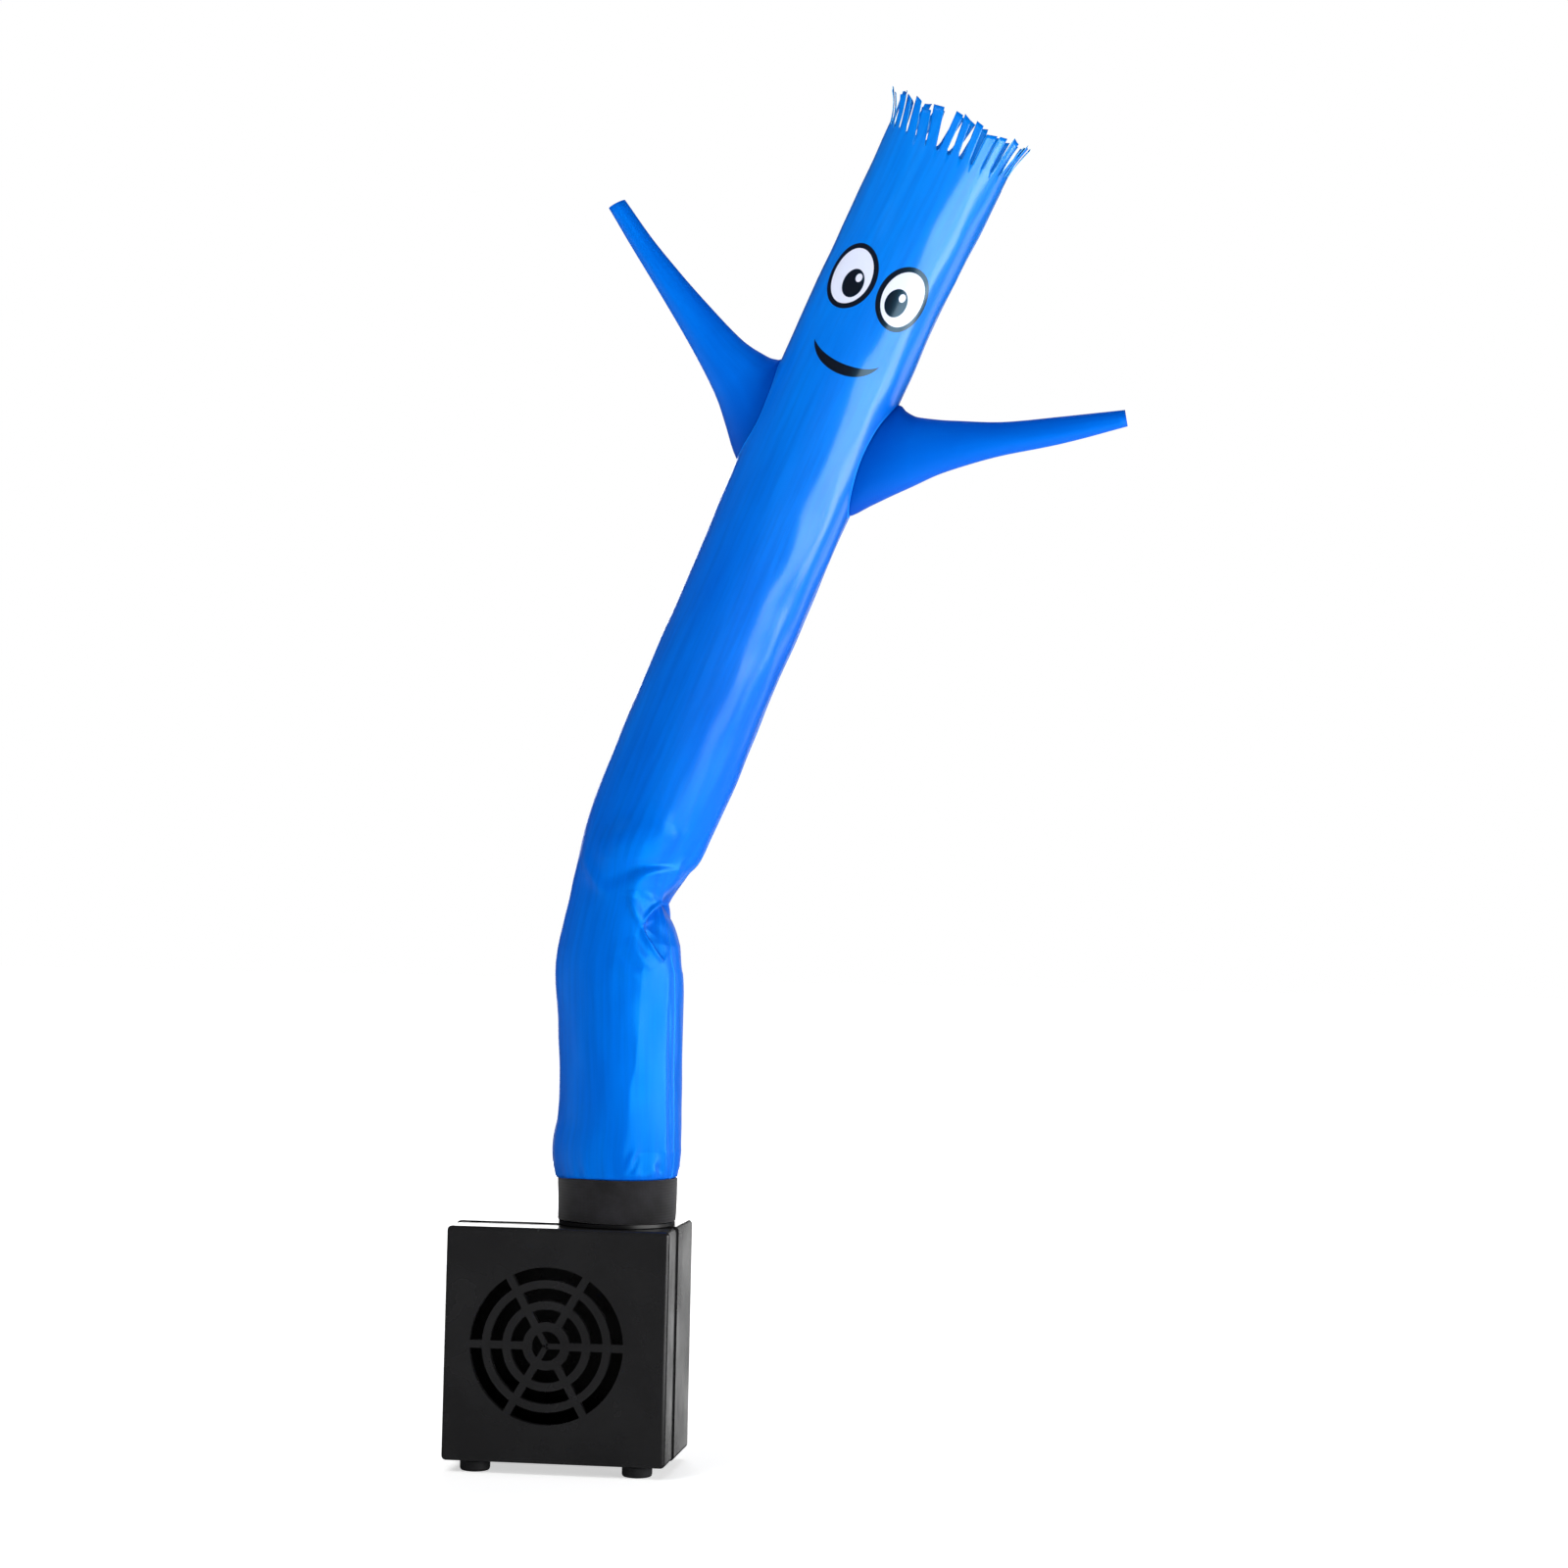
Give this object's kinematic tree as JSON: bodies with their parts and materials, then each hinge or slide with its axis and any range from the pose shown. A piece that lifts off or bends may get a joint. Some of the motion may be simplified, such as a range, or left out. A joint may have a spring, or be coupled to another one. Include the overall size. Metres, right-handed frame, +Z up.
{
  "type": "inflatable air dancer on a fan blower",
  "caption": "Desk-top inflatable air dancer: a blue cloth tube with cloth arms and a fringed top leans from the round outlet of a square black fan blower.",
  "frame": {"origin": "on the surface that the feet stand on, under the middle of the whole outline", "axes": "+Z up, -Y the front with the grille, +X to the right, the side that the tube leans to"},
  "size_m": [0.2066, 0.0663, 0.4336],
  "materials": {
    "blue_taffeta": "thin smooth-coated blue taffeta with a soft gloss; a printed face on the upper front is given in the visual only",
    "black_webbing": "matt black woven band",
    "black_abs": "smooth black moulded housing, satin front and glossy sides",
    "gloss_black_abs": "glossy black moulded outlet",
    "plated_steel": "plated socket shell",
    "black_rubber": "matt black rubber"
  },
  "bodies": {
    "root": {"blower_front_shell": "black_abs", "blower_rear_shell": "black_abs", "outlet_spigot": "gloss_black_abs", "power_inlet": "plated_steel", "foot_front_left": "black_rubber", "foot_front_right": "black_rubber", "foot_rear_left": "black_rubber", "foot_rear_right": "black_rubber", "neck_band": "black_webbing", "dancer_tube": "blue_taffeta", "left_arm": "blue_taffeta", "right_arm": "blue_taffeta"}
  },
  "joints": []
}
